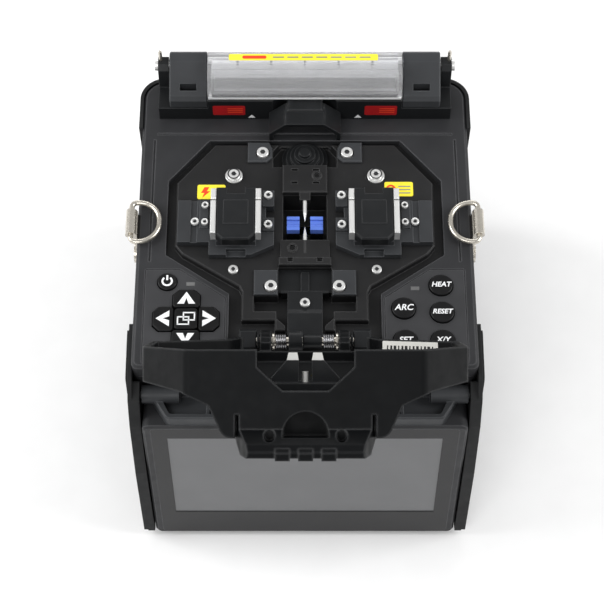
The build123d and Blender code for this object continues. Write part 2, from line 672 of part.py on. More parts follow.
# ------------------------------------------------------------------ cover hinge
CHEEK_INNER = 19.0
CHEEK_OUTER = 26.0
CHEEK_PROFILE = [
    (-53.0, GROOVE_FLOOR),
    (-53.0, 115.0),
    (-50.5, 117.2),
    (-43.5, 117.2),
    (-41.5, 115.0),
    (-41.5, GROOVE_FLOOR),
]
KNUCKLE = 4.4
ARM_SPAN = (13.2, 17.6)
SPRING_SPANS = ((-11.9, -6.7), (6.9, 12.1))
SPRING_CORE = 2.4
SPRING_RADIUS = 3.1
SPRING_PITCH = 1.3
SPRING_WIRE = 0.9
ROD_HALF = CHEEK_INNER + 3.0

with BuildPart() as hinge_cheeks:
    for side in (-1, 1):
        prism(Plane.YZ.offset(side * CHEEK_INNER), CHEEK_PROFILE, side * (CHEEK_OUTER - CHEEK_INNER))
    chamfer(hinge_cheeks.faces().group_by(Axis.Z)[-1].edges().filter_by(Axis.Y), 0.5)
    rod_x(*COVER_AXIS, COVER_ROD, (-ROD_HALF, ROD_HALF), Mode.SUBTRACT)
save(hinge_cheeks, "hinge_cheeks")

with BuildPart() as hinge_rod:
    rod_x(*COVER_AXIS, COVER_ROD, (-ROD_HALF, ROD_HALF))
    for collar_x in (-12.4, 12.6):
        rod_x(*COVER_AXIS, 3.4, (collar_x - 0.4, collar_x + 0.4))
save(hinge_rod, "hinge_rod")

with BuildPart() as hinge_springs:
    for start, end in SPRING_SPANS:
        rod_x(*COVER_AXIS, SPRING_CORE, (start, end))
        for turn in range(int((end - start) / SPRING_PITCH)):
            coil_x = start + SPRING_PITCH * turn + SPRING_PITCH / 6
            rod_x(*COVER_AXIS, SPRING_RADIUS, (coil_x, coil_x + SPRING_WIRE))
    circles = hinge_springs.edges().filter_by(GeomType.CIRCLE)
    fillet(circles.filter_by(lambda rim: rim.radius > SPRING_CORE + 0.1), SPRING_WIRE / 2.5)
    for start, end in SPRING_SPANS:
        rod_x(*COVER_AXIS, COVER_ROD, (start, end), Mode.SUBTRACT)
save(hinge_springs, "hinge_springs")


# ------------------------------------------------------------------ windshield cover
# Drawn in the cover's own frame: X, then depth away from the hinge, then height off the deck.
open_angle = radians(COVER_OPEN)
COVER_PLAN = Plane(
    origin=(0, *COVER_AXIS),
    x_dir=(1, 0, 0),
    z_dir=(0, -sin(open_angle), cos(open_angle)),
)
COVER_CROSS = Plane(origin=(0, *COVER_AXIS), x_dir=(1, 0, 0), z_dir=-COVER_PLAN.y_dir)
COVER_SIDE = Plane(origin=(0, *COVER_AXIS), x_dir=COVER_PLAN.y_dir, z_dir=(1, 0, 0))
COVER_BASE = -2.0
COVER_FRONT = 6.0
COVER_REAR = 98.0
COVER_CREST = 28.0
COVER_OUTLINE = both_sides(
    [
        (40.7, COVER_REAR),
        (57.0, 77.0),
        (57.0, 40.0),
        (30.0, 23.0),
        (27.0, COVER_FRONT),
    ]
)
HUMP = [(28.0, COVER_CREST), (33.0, 17.0), (42.5, 12.6), (64.0, 9.2), (64.0, -30.0)]
SIDE_VIEW = [
    (COVER_FRONT, -30.0),
    (COVER_FRONT, 9.0),
    (28.0, 21.5),
    (48.0, COVER_CREST),
    (110.0, COVER_CREST),
    (110.0, -30.0),
]
NOTCH = both_sides([(7.8, 12.0), (16.5, 4.0), (16.5, -10.0)])
HINGE_GAP = both_sides([(24.0, 3.4), (24.0, -10.0)])
LIP_ROOT = 24.0
LIP_END = 21.0
LIP_TAPER = [
    (LIP_ROOT, COVER_REAR - 4.0),
    (LIP_ROOT, 110.0),
    (LIP_END - 3.0, 110.0),
    (LIP_END - 1.0, 105.0),
]
LIP_PROFILE = [
    (96.0, 24.4),
    (98.0, 25.0),
    (104.6, 29.4),
    (106.2, 32.0),
    (105.2, 34.2),
    (99.0, 33.6),
    (93.0, 27.4),
]
LIP_RIB = [(103.0, 32.0), (105.6, 30.6), (107.0, 32.2), (105.8, 35.0), (103.6, 34.6)]
RIB_PITCH = 7.8
RIB_WIDTH = 5.0
GRIP_HALF = 7.8
GRIP_CENTRE = 26.8
GRIP_FLOOR = 93.0
GRIP_HOLE = (12.2, 27.0)
GRIP_WALL = [
    (GRIP_FLOOR - 2.0, 27.8),
    (GRIP_FLOOR - 2.0, 17.0),
    (COVER_REAR - 1.0, 17.0),
    (COVER_REAR - 1.0, 27.8),
]
HINGE_ARM = [
    (-0.5, -KNUCKLE + 0.2),
    (COVER_FRONT + 1.5, 0.0),
    (COVER_FRONT + 1.5, 8.0),
    (-0.5, KNUCKLE - 0.2),
]


def cover_volume(inset):
    """The cover as a solid block, with its walls moved inward and its underside left where it is."""
    with BuildPart() as volume:
        with BuildSketch(COVER_PLAN.offset(COVER_BASE)) as plan:
            with BuildLine():
                Polyline(COVER_OUTLINE, close=True)
            make_face()
            fillet(plan.vertices(), 3.0)
            if inset:
                offset(amount=-inset)
        extrude(plan.sketch, amount=50.0)
        with BuildSketch(COVER_CROSS) as cross_section:
            with BuildLine():
                Polyline(both_sides(HUMP), close=True)
            make_face()
            fillet(cross_section.vertices().group_by(Axis.Y)[-1], 4.5)
            if inset:
                offset(amount=-inset, kind=Kind.INTERSECTION)
        extrude(cross_section.sketch, amount=-120.0, mode=Mode.INTERSECT)
        with BuildSketch(COVER_SIDE.offset(-70.0)) as side_view:
            with BuildLine():
                Polyline(SIDE_VIEW, close=True)
            make_face()
            if inset:
                offset(amount=-inset, kind=Kind.INTERSECTION)
        extrude(side_view.sketch, amount=140.0, mode=Mode.INTERSECT)
    return volume


outer_volume = cover_volume(0.0)
inner_volume = cover_volume(COVER_WALL)

with BuildPart() as cover_shell:
    add(outer_volume.part)
    prism(COVER_SIDE.offset(-LIP_ROOT), LIP_PROFILE, 2 * LIP_ROOT, 0.7)
    for side in (-1, 1):
        prism(COVER_PLAN.offset(20.0), flip(LIP_TAPER, side), 20.0, mode=Mode.SUBTRACT)
    add(inner_volume.part, mode=Mode.SUBTRACT)
    prism(COVER_CROSS.offset(0.1 - COVER_FRONT), HINGE_GAP, -COVER_WALL - 1.0, mode=Mode.SUBTRACT)
    prism(COVER_SIDE.offset(-GRIP_HALF - 1.8), GRIP_WALL, 2 * GRIP_HALF + 3.6)
    prism(COVER_CROSS.offset(6.0 - COVER_REAR), NOTCH, -12.0, mode=Mode.SUBTRACT)
    with BuildSketch(COVER_CROSS.offset(-GRIP_FLOOR)) as grip:
        with Locations((0, GRIP_CENTRE)):
            Circle(GRIP_HALF)
        with Locations((0, GRIP_CENTRE + 4.0)):
            Rectangle(40.0, 8.0, mode=Mode.SUBTRACT)
        with Locations((0, GRIP_CENTRE + 0.4)):
            Rectangle(2 * GRIP_HALF, 0.8)
    extrude(grip.sketch, amount=-12.0, mode=Mode.SUBTRACT)
    with BuildSketch(COVER_CROSS.offset(-COVER_REAR)) as grip_holes:
        with Locations((-GRIP_HOLE[0], GRIP_HOLE[1]), GRIP_HOLE):
            Circle(1.9)
    extrude(grip_holes.sketch, amount=-12.0, mode=Mode.SUBTRACT)
    for rib_x in (-RIB_PITCH, 0.0, RIB_PITCH):
        prism(COVER_SIDE.offset(rib_x - RIB_WIDTH / 2), LIP_RIB, RIB_WIDTH, 0.3)
    for side in (-1, 1):
        prism(COVER_SIDE.offset(side * ARM_SPAN[0]), HINGE_ARM, side * (ARM_SPAN[1] - ARM_SPAN[0]))
        rod_x(*COVER_AXIS, KNUCKLE, span(side, *ARM_SPAN))
        rod_x(*COVER_AXIS, COVER_ROD + RUNNING, span(side, *ARM_SPAN), Mode.SUBTRACT)
save(cover_shell, "cover_shell")

PRESSER_DEPTH = FIBRE_Y - COVER_AXIS[0]
PRESSER_PLINTH = 12.0
PRESSER_NECK = 4.0
PRESSER_GUSSET = [
    (2.4, PRESSER_PLINTH),
    (2.4, PRESSER_NECK),
    (6.7, PRESSER_NECK),
    (12.4, 10.4),
    (12.4, PRESSER_PLINTH),
]
PRESSER_TIP = [(2.4, PRESSER_NECK), (2.9, 1.4), (6.1, 1.4), (6.7, PRESSER_NECK)]
CENTRE_PIN_TIP = 8.2

with BuildPart() as cover_pressers:
    with BuildSketch(COVER_PLAN.offset(PRESSER_PLINTH)) as plinth:
        with Locations((0, PRESSER_DEPTH)):
            RectangleRounded(25.0, 16.0, 2.0)
    extrude(plinth.sketch, amount=30.0)
    add(inner_volume.part, mode=Mode.INTERSECT)
    for side in (-1, 1):
        prism(COVER_CROSS.offset(2.6 - PRESSER_DEPTH), flip(PRESSER_GUSSET, side), -5.2)
save(cover_pressers, "cover_pressers")

with BuildPart() as presser_tips:
    for side in (-1, 1):
        prism(COVER_CROSS.offset(1.5 - PRESSER_DEPTH), flip(PRESSER_TIP, side), -3.0)
    with BuildSketch(COVER_PLAN.offset(CENTRE_PIN_TIP)) as centre_pin:
        with Locations((0, PRESSER_DEPTH)):
            Circle(1.2)
    extrude(centre_pin.sketch, amount=PRESSER_PLINTH - CENTRE_PIN_TIP)
save(presser_tips, "presser_tips")


# ------------------------------------------------------------------ fibre clamps
STAGE_GAP = 0.2
STAGE_BASE = DECK_TOP + STAGE_GAP
STAGE_TOP = 115.2
STAGE_INNER = 12.6
CLAMP_SEAT = 118.4
LID_BASE = 118.7
LID_TOP = 123.6
LID_AXIS = (16.4, 120.4)  # Y, Z
LID_SPAN = (20.0, 36.0)
BAR = 2.2
STAGE_OUTLINE = [
    (16.0, 18.0),
    (52.0, 18.0),
    (52.0, -1.7),
    (39.0, -1.7),
    (39.0, -7.6),
    (22.0, -7.6),
    (STAGE_INNER, -3.0),
    (STAGE_INNER, 4.0),
    (16.0, 4.0),
]

for side, stage_name, lid_name, bar_name in (
    (-1, "stage_left", "clamp_lid_left", "clamp_bars_left"),
    (1, "stage_right", "clamp_lid_right", "clamp_bars_right"),
):
    with BuildPart() as stage:
        prism(Plane.XY.offset(STAGE_BASE), flip(STAGE_OUTLINE, side), STAGE_TOP - STAGE_BASE)
        block(span(side, STAGE_INNER, 17.4), (14.5, 22.0), (STAGE_BASE, STAGE_TOP + 1.2))
        block(span(side, STAGE_INNER, 17.4), (3.0, 9.0), (STAGE_BASE, STAGE_TOP + 1.2))
        block(span(side, *LID_SPAN), (-3.4, 13.0), (STAGE_TOP, CLAMP_SEAT))
        block(span(side, 39.5, 43.0), (4.5, 17.0), (STAGE_TOP, STAGE_TOP + 0.8))
        block(span(side, 24.0, 32.0), (-7.6, -5.0), (STAGE_BASE + 1.0, STAGE_TOP), Mode.SUBTRACT)
        block(span(side, 44.0, 46.6), (-1.7, 18.0), (STAGE_TOP - 0.7, STAGE_TOP), Mode.SUBTRACT)
        fibre_groove = (FIBRE_Y - 0.3, FIBRE_Y + 0.3)
        block(span(side, *LID_SPAN), fibre_groove, (CLAMP_SEAT - 0.4, CLAMP_SEAT), Mode.SUBTRACT)
        for ear in ((LID_SPAN[0] + 0.4, LID_SPAN[0] + 3.4), (LID_SPAN[1] - 3.4, LID_SPAN[1] - 0.4)):
            block(span(side, *ear), (LID_AXIS[0] - 2.0, LID_AXIS[0] + 1.6), (STAGE_TOP, LID_AXIS[1]))
            rod_x(*LID_AXIS, 1.8, span(side, *ear))
        rod_x(*LID_AXIS, 0.9 + RUNNING, span(side, LID_SPAN[0], LID_SPAN[1]), Mode.SUBTRACT)
    save(stage, stage_name)

    with BuildPart() as lid:
        lid_plan = [(20.0, 19.4), (36.0, 19.4), (36.0, -2.6), (33.4, -5.2), (22.6, -5.2), (20.0, -2.6)]
        prism(Plane.XY.offset(LID_BASE), flip(lid_plan, side), LID_TOP - LID_BASE)
        chamfer(lid.faces().sort_by(Axis.Z)[-1].edges(), 0.6)
        block(span(side, 24.4, 31.6), (16.2, 19.4), (LID_BASE, LID_TOP), Mode.SUBTRACT)
        for ear in ((LID_SPAN[0] + 0.1, LID_SPAN[0] + 3.7), (LID_SPAN[1] - 3.7, LID_SPAN[1] - 0.1)):
            block(span(side, *ear), (13.2, 19.4), (LID_BASE, LID_AXIS[1] + 2.1), Mode.SUBTRACT)
        rod_x(*LID_AXIS, 0.9, span(side, LID_SPAN[0], LID_SPAN[1]))
        block(span(side, 23.0, 33.0), (2.0, 13.0), (LID_TOP - 0.01, LID_TOP + 0.3))
    save(lid, lid_name)

    with BuildPart() as bars:
        for edge, outward in ((LID_SPAN[0], -1), (LID_SPAN[1], 1)):
            for bar_span in ((-2.7, 12.7), (13.3, 18.4)):
                block(span(side, edge, edge + outward * BAR), bar_span, (LID_BASE, LID_TOP + 0.8))
        chamfer(bars.faces().group_by(Axis.Z)[-1].edges(), 0.4)
    save(bars, bar_name)


# ------------------------------------------------------------------ tube heater
HEATER_TOP = 125.6
LEDGE_TOP = 119.8
HEATER_OUTER = 61.5
TROUGH_HALF = 38.0
TROUGH_SPAN = (65.6, 73.4)
TROUGH_FLOOR = 115.6
TROUGH_WALL = 1.2
LID_CLEAR_BASE = 126.0
LID_CLEAR_TOP = 136.2
CLEAR_WALL = 1.6
ALCOVE = both_sides([(8.5, 64.6), (13.5, HEATER_FRONT - 0.01)])
HEATER_CHEEK = [
    (71.5, LEDGE_TOP),
    (73.0, 129.0),
    (75.0, 131.0),
    (79.0, 131.0),
    (REAR, 129.5),
    (REAR, LEDGE_TOP),
]
HINGE_BARREL = 2.9
LID_SIDE = [
    (60.8, LID_CLEAR_BASE),
    (60.8, 129.6),
    (64.8, LID_CLEAR_TOP),
    (77.4, LID_CLEAR_TOP),
    (79.4, 134.0),
    (79.4, LID_CLEAR_BASE),
]
LID_HOLLOW = [
    (60.8 + CLEAR_WALL, LID_CLEAR_BASE),
    (60.8 + CLEAR_WALL, 129.2),
    (65.8, LID_CLEAR_TOP - CLEAR_WALL),
    (75.4, LID_CLEAR_TOP - CLEAR_WALL),
    (73.2, 131.5),
    (73.2, LID_CLEAR_BASE),
]
LID_RIBS = (-28.0, -14.0, 0.0, 14.0, 28.0)
FINGER_SLOT = (45.2, 52.2)
END_CLAMP_SIDE = [
    (60.8, LEDGE_TOP + 0.4),
    (60.8, 124.6),
    (62.2, 126.4),
    (74.8, 133.2),
    (79.2, 133.6),
    (80.8, 132.2),
    (80.8, 124.0),
    (76.0, LEDGE_TOP + 0.4),
]

with BuildPart() as heater_base:
    block((-HEATER_HALF, HEATER_HALF), (HEATER_FRONT, REAR), (DECK_TOP, HEATER_TOP))
    for side in (-1, 1):
        block(span(side, HEATER_HALF, HEATER_OUTER), (HEATER_FRONT, REAR), (DECK_TOP, LEDGE_TOP))
        prism(Plane.YZ.offset(side * (CLAMP_END + 0.4)), HEATER_CHEEK, side * (HEATER_OUTER - CLAMP_END - 0.4))
    front_rim = heater_base.edges().filter_by(Axis.X).group_by(Axis.Y)[0]
    chamfer(front_rim.sort_by(Axis.Z)[-1], 0.8)
    block((-16.0, 16.0), (HEATER_FRONT, 61.4), (DECK_TOP, DECK_TOP + 1.0), Mode.SUBTRACT)
    prism(Plane.XY.offset(DECK_TOP), ALCOVE, 30.0, mode=Mode.SUBTRACT)
    block((-TROUGH_HALF, TROUGH_HALF), TROUGH_SPAN, (TROUGH_FLOOR, HEATER_TOP), Mode.SUBTRACT)
    for side in (-1, 1):
        block(span(side, TROUGH_HALF, HEATER_HALF), (66.5, 71.5), (LEDGE_TOP, HEATER_TOP), Mode.SUBTRACT)
        block(span(side, HEATER_HALF, CLAMP_END), (70.0, REAR), (LEDGE_TOP - 1.0, LEDGE_TOP), Mode.SUBTRACT)
    block((-HEATER_HALF, HEATER_HALF), (73.8, REAR), (HEATER_TOP - 1.0, HEATER_TOP), Mode.SUBTRACT)
    rod_x(*HEATER_AXIS, HEATER_ROD, (-HEATER_OUTER, HEATER_OUTER), Mode.SUBTRACT)
save(heater_base, "heater_base")

with BuildPart() as heater_trough:
    block((-TROUGH_HALF, TROUGH_HALF), TROUGH_SPAN, (TROUGH_FLOOR, HEATER_TOP))
    valley = [
        (TROUGH_SPAN[0] + TROUGH_WALL, HEATER_TOP),
        (TROUGH_SPAN[0] + TROUGH_WALL, TROUGH_FLOOR + 4.0),
        (TROUGH_SPAN[0] + 2.6, TROUGH_FLOOR + TROUGH_WALL),
        (TROUGH_SPAN[1] - 2.6, TROUGH_FLOOR + TROUGH_WALL),
        (TROUGH_SPAN[1] - TROUGH_WALL, TROUGH_FLOOR + 4.0),
        (TROUGH_SPAN[1] - TROUGH_WALL, HEATER_TOP),
    ]
    prism(Plane.YZ.offset(-TROUGH_HALF), valley, 2 * TROUGH_HALF, mode=Mode.SUBTRACT)
save(heater_trough, "heater_trough")

with BuildPart() as heater_rod:
    rod_x(*HEATER_AXIS, HEATER_ROD, (-HEATER_OUTER - 1.4, HEATER_OUTER + 1.4))
    for side in (-1, 1):
        rod_x(*HEATER_AXIS, 2.4, span(side, HEATER_OUTER, HEATER_OUTER + 1.4))
save(heater_rod, "heater_rod")

with BuildPart() as heater_lid:
    lid_half = HEATER_HALF - 0.3
    prism(Plane.YZ.offset(-lid_half), LID_SIDE, 2 * lid_half)
    fillet(heater_lid.edges().filter_by(Axis.X).group_by(Axis.Z)[-1], 0.8)
    prism(Plane.YZ.offset(CLEAR_WALL - lid_half), LID_HOLLOW, 2 * (lid_half - CLEAR_WALL), mode=Mode.SUBTRACT)
    for rib_x in LID_RIBS:
        block((rib_x - 0.5, rib_x + 0.5), (70.0, 74.0), (131.6, LID_CLEAR_TOP - CLEAR_WALL))
    rod_x(*HEATER_AXIS, HINGE_BARREL, (-lid_half, lid_half))
    block((-lid_half, lid_half), (73.0, 81.0), (120.0, LID_CLEAR_BASE), Mode.SUBTRACT)
    rod_x(*HEATER_AXIS, HEATER_ROD + RUNNING, (-lid_half, lid_half), Mode.SUBTRACT)
save(heater_lid, "heater_lid")

for side, name in ((-1, "heater_clamp_left"), (1, "heater_clamp_right")):
    with BuildPart() as heater_clamp:
        prism(Plane.YZ.offset(side * (HEATER_HALF + 0.1)), END_CLAMP_SIDE, side * (CLAMP_END - HEATER_HALF - 0.2))
        chamfer(heater_clamp.faces().sort_by(Axis.X)[0].edges(), 0.4)
        chamfer(heater_clamp.faces().sort_by(Axis.X)[-1].edges(), 0.4)
        block(span(side, *FINGER_SLOT), (64.2, 66.8), (123.0, 132.0), Mode.SUBTRACT)
        block(span(side, HEATER_HALF, CLAMP_END), (66.5, 71.5), (LEDGE_TOP, LEDGE_TOP + 1.6), Mode.SUBTRACT)
        rod_x(*HEATER_AXIS, HEATER_ROD + RUNNING, span(side, HEATER_HALF, CLAMP_END), Mode.SUBTRACT)
    save(heater_clamp, name)


# ------------------------------------------------------------------ strap rings
LUG_PLATE = 1.2
LUG_FOOT = 84.0
RING_SPAN = (-1.0, 17.5)
RING_REACH = 59.5
EYE_RADIUS = 2.2

with BuildPart() as ring_lugs:
    for side in (-1, 1):
        block(span(side, HALF_WIDTH, HALF_WIDTH + LUG_PLATE), LUG_SPAN, (LUG_FOOT, RING_AXIS[1]))
        rod_x(sum(LUG_SPAN) / 2, 90.0, 4.2, span(side, HALF_WIDTH + LUG_PLATE, HALF_WIDTH + LUG_PLATE + 1.8))
        with BuildSketch(Plane.XZ.offset(-LUG_SPAN[0])) as eye:
            with Locations((side * RING_AXIS[0], RING_AXIS[1])):
                Circle(EYE_RADIUS)
        extrude(eye.sketch, amount=-(LUG_SPAN[1] - LUG_SPAN[0]))
        with BuildSketch(Plane.XZ.offset(-LUG_SPAN[0])) as eye_bore:
            with Locations((side * RING_AXIS[0], RING_AXIS[1])):
                Circle(RING_WIRE + RUNNING)
        extrude(eye_bore.sketch, amount=-(LUG_SPAN[1] - LUG_SPAN[0]), mode=Mode.SUBTRACT)
        with BuildSketch(Plane.YZ.offset(side * (HALF_WIDTH + LUG_PLATE + 1.8))) as hexagon:
            with Locations((sum(LUG_SPAN) / 2, 90.0)):
                RegularPolygon(1.8, 6)
        extrude(hexagon.sketch, amount=-side * 1.2, mode=Mode.SUBTRACT)
save(ring_lugs, "ring_lugs")

for side, name in ((-1, "strap_ring_left"), (1, "strap_ring_right")):
    with BuildPart() as strap_ring:
        with BuildLine() as bend:
            FilletPolyline(
                (side * RING_AXIS[0], RING_SPAN[1], RING_AXIS[1]),
                (side * RING_REACH, RING_SPAN[1], RING_AXIS[1]),
                (side * RING_REACH, RING_SPAN[0], RING_AXIS[1]),
                (side * RING_AXIS[0], RING_SPAN[0], RING_AXIS[1]),
                radius=[2.2, 8.6, 8.6, 2.2],
                close=True,
            )
        with BuildSketch(Plane(origin=bend.line @ 0, z_dir=bend.line % 0)) as wire_section:
            Circle(RING_WIRE)
        sweep(wire_section.sketch, path=bend.line)
    save(strap_ring, name)


# ------------------------------------------------------------------ screen
# Drawn in the screen's own frame: X, up the glass, out of the glass; the origin is the display's top edge.
lean = radians(SCREEN_LEAN)
SCREEN_FACE = Plane(origin=DISPLAY_TOP, x_dir=(1, 0, 0), z_dir=(0, -cos(lean), sin(lean)))
HOUSING_HALF = 65.0
HOUSING_TOP = 8.5
HOUSING_BOTTOM = -81.6
HOUSING_DEPTH = 12.5
BEZEL_THICK = 1.2
BEZEL_HALF = 61.6
BEZEL_TOP = 7.2
BEZEL_BOTTOM = -80.4
GLASS_STEP = 0.3
HOOD_HEIGHT = 5.4
HOOD_BARREL = 3.8

with BuildPart() as screen_housing:
    housing = rectangle(HOUSING_HALF, HOUSING_TOP, HOUSING_BOTTOM)
    prism(SCREEN_FACE.offset(-HOUSING_DEPTH), housing, HOUSING_DEPTH, 3.0)
    rims = screen_housing.faces().sort_by(SCREEN_FACE.location.z_axis)
    chamfer(rims[0].edges() + rims[-1].edges(), 1.0)
    cavity = rectangle(60.0, 5.0, -78.0)
    prism(SCREEN_FACE.offset(-HOUSING_DEPTH + WALL), cavity, HOUSING_DEPTH, mode=Mode.SUBTRACT)
    bezel_seat = rectangle(BEZEL_HALF, BEZEL_TOP, BEZEL_BOTTOM)
    prism(SCREEN_FACE.offset(-BEZEL_THICK), bezel_seat, BEZEL_THICK, 2.0, Mode.SUBTRACT)
save(screen_housing, "screen_housing")

with BuildPart() as screen_bezel:
    prism(SCREEN_FACE.offset(-BEZEL_THICK), bezel_seat, BEZEL_THICK, 2.0)
    display = rectangle(DISPLAY_WIDTH / 2, 0.0, -DISPLAY_HEIGHT)
    prism(SCREEN_FACE.offset(-BEZEL_THICK), display, BEZEL_THICK, mode=Mode.SUBTRACT)
save(screen_bezel, "screen_bezel")

with BuildPart() as screen_display:
    prism(SCREEN_FACE.offset(-BEZEL_THICK), display, BEZEL_THICK - GLASS_STEP)
    backlight = rectangle(57.5, 2.0, -66.0)
    prism(SCREEN_FACE.offset(-BEZEL_THICK - 4.0), backlight, 4.0)
save(screen_display, "screen_display")

HOOD_BASE = Plane(
    origin=SCREEN_FACE.location.position + SCREEN_FACE.y_dir * HOUSING_TOP,
    x_dir=(1, 0, 0),
    z_dir=SCREEN_FACE.y_dir,
)
HOOD_REACH = 15.6
HOOD_OUTLINE = both_sides([(61.0, HOOD_REACH), (61.0, 11.0), (55.0, 1.0)])
HOOD_INNER = both_sides([(58.6, HOOD_REACH - 2.2), (53.8, 3.2)])

with BuildPart() as screen_hood:
    prism(HOOD_BASE, HOOD_OUTLINE, HOOD_HEIGHT, 2.5)
    chamfer(screen_hood.faces().sort_by(HOOD_BASE.location.z_axis)[-1].edges(), 0.6)
    prism(HOOD_BASE.offset(1.6), HOOD_INNER, HOOD_HEIGHT, 1.5, Mode.SUBTRACT)
    for side in (-1, 1):
        rod_x(*SCREEN_AXIS, HOOD_BARREL, span(side, 50.0, 64.9))
        rod_x(*SCREEN_AXIS, SCREEN_PIN, span(side, 60.0, 68.3))
        for rib_x in (14.0, 26.0, 38.0):
            block(span(side, rib_x, rib_x + 1.2), (-71.0, -60.0), (93.5, 95.4))
save(screen_hood, "screen_hood")
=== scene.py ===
"""Looks of the fibre fusion splicer: finishes, legends, labels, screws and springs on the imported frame."""
import math

import bmesh
import bpy
from mathutils import Matrix, Vector


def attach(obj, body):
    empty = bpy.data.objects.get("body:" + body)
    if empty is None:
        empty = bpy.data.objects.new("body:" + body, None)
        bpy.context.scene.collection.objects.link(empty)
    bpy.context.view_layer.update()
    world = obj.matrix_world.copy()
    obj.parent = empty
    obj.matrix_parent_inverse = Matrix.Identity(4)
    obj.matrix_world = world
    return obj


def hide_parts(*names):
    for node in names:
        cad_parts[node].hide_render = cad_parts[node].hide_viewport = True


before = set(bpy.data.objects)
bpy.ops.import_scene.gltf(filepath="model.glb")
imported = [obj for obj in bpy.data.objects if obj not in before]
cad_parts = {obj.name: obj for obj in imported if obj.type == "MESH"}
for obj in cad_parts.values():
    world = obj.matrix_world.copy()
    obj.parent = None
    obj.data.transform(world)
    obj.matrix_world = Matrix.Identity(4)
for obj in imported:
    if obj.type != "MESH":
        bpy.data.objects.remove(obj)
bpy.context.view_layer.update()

MM = 0.001


# ---------------------------------------------------------------- camera and light
CAMERA_PLACE = (-0.0012, -0.3652, 0.7336)  # metres
CAMERA_TILT = 28.5  # degrees from straight down
CAMERA_LENS = 105.4
SENSOR_WIDTH = 36.0
SKY_STRENGTH = 0.5

camera = bpy.data.objects.new("camera", bpy.data.cameras.new("camera"))
camera.data.lens = CAMERA_LENS
camera.data.sensor_width = SENSOR_WIDTH
camera.location = CAMERA_PLACE
camera.rotation_euler = (math.radians(CAMERA_TILT), 0.0, 0.0)
bpy.context.scene.collection.objects.link(camera)
bpy.context.scene.camera = camera

DECK_MIDDLE = (0.0, 0.0, 0.08)
SOFTBOXES = (  # name, place, aim and size in metres, watts
    ("light_front", (-0.35, -0.95, 1.1), DECK_MIDDLE, (0.9, 0.6), 6.5),
    ("light_left", (-1.0, 0.1, 0.8), DECK_MIDDLE, (0.6, 0.9), 10.0),
    ("light_right", (1.0, 0.0, 0.8), DECK_MIDDLE, (0.6, 0.9), 9.0),
    ("light_rear", (0.0, 1.3, 0.7), (0.0, 0.0, 0.1), (0.9, 0.4), 4.0),
)

for name, place, target, size, power in SOFTBOXES:
    lamp = bpy.data.lights.new(name, "AREA")
    lamp.shape = "RECTANGLE"
    lamp.size, lamp.size_y = size
    lamp.energy = power
    holder = bpy.data.objects.new(name, lamp)
    holder.location = place
    aim = Vector(target) - Vector(place)
    holder.rotation_euler = aim.to_track_quat("-Z", "Y").to_euler()
    bpy.context.scene.collection.objects.link(holder)

world = bpy.data.worlds.new("studio")
world.use_nodes = True
sky = world.node_tree.nodes["Background"]
sky.inputs["Color"].default_value = (1.0, 1.0, 1.0, 1.0)
sky.inputs["Strength"].default_value = SKY_STRENGTH
bpy.context.scene.world = world
bpy.context.scene.view_settings.view_transform = "Standard"


# ---------------------------------------------------------------- finishes
TONE_SCALE = 55.0  # slow change of tone over a moulding
SMEAR_SCALE = 240.0  # patches of more and less shine
HAZE_SCALE = 90.0
NOISE_BAND = (0.35, 0.65)
SHINE_BAND = (0.3, 0.7)
BEVEL_SAMPLES = 4
FLAT_FACE = 0.995  # cosine between the face and its rounded edge, where wear and the painted edge highlight start
WORN_LIT_EDGE = 0.8
WORN_LIT_GAIN = 3.0
WORN_LIT_LIFT = 0.05
GRAIN_DEPTH = 0.00012
LEAST_ROUGH = 0.05
STREAK_LONG = 60.0
STREAK_FINE = 2600.0
STREAK_SHADE = 0.95
STREAK_BUMP = 0.05
STREAK_DEPTH = 0.00002
STREAK_SPREAD = 0.15
BLUE_EDGE = 0.0002  # metres over which the colour of a block changes to its lower colour


def shader(name):
    """A new material with its node tree, its Principled shader and the object's own coordinates."""
    material = bpy.data.materials.new(name)
    material.use_nodes = True
    tree = material.node_tree
    place = tree.nodes.new("ShaderNodeTexCoord").outputs["Object"]
    return material, tree, tree.nodes["Principled BSDF"], place


def ramp(tree, source, low, high, value_low, value_high):
    """Maps a factor between low and high to a value between two values."""
    node = tree.nodes.new("ShaderNodeMapRange")
    node.inputs["From Min"].default_value = low
    node.inputs["From Max"].default_value = high
    node.inputs["To Min"].default_value = value_low
    node.inputs["To Max"].default_value = value_high
    tree.links.new(source, node.inputs["Value"])
    return node.outputs["Result"]


def noise(tree, place, scale, detail=3.0):
    node = tree.nodes.new("ShaderNodeTexNoise")
    node.inputs["Scale"].default_value = scale
    node.inputs["Detail"].default_value = detail
    tree.links.new(place, node.inputs["Vector"])
    return node.outputs["Fac"]


def mixed(tree, factor, first, second):
    """A colour between two colours or sockets, by a factor socket."""
    node = tree.nodes.new("ShaderNodeMix")
    node.data_type = "RGBA"
    tree.links.new(factor, node.inputs["Factor"])
    for socket, value in ((node.inputs[6], first), (node.inputs[7], second)):
        if isinstance(value, tuple):
            socket.default_value = (*value, 1.0)
        else:
            tree.links.new(value, socket)
    return node.outputs[2]


def shaded(colour, gain, lift=0.0):
    return tuple(min(1.0, c * gain + lift) for c in colour)


def rounded_normal(tree, edge):
    """The surface normal with edges rounded by a radius in mm."""
    bevel = tree.nodes.new("ShaderNodeBevel")
    bevel.samples = BEVEL_SAMPLES
    bevel.inputs["Radius"].default_value = edge * MM
    return bevel.outputs["Normal"]


def relief(tree, normal, height, strength, depth):
    """Puts fine relief on a normal and gives it to the Principled shader."""
    bump = tree.nodes.new("ShaderNodeBump")
    bump.inputs["Strength"].default_value = strength
    bump.inputs["Distance"].default_value = depth
    tree.links.new(height, bump.inputs["Height"])
    tree.links.new(normal, bump.inputs["Normal"])
    tree.links.new(bump.outputs["Normal"], tree.nodes["Principled BSDF"].inputs["Normal"])


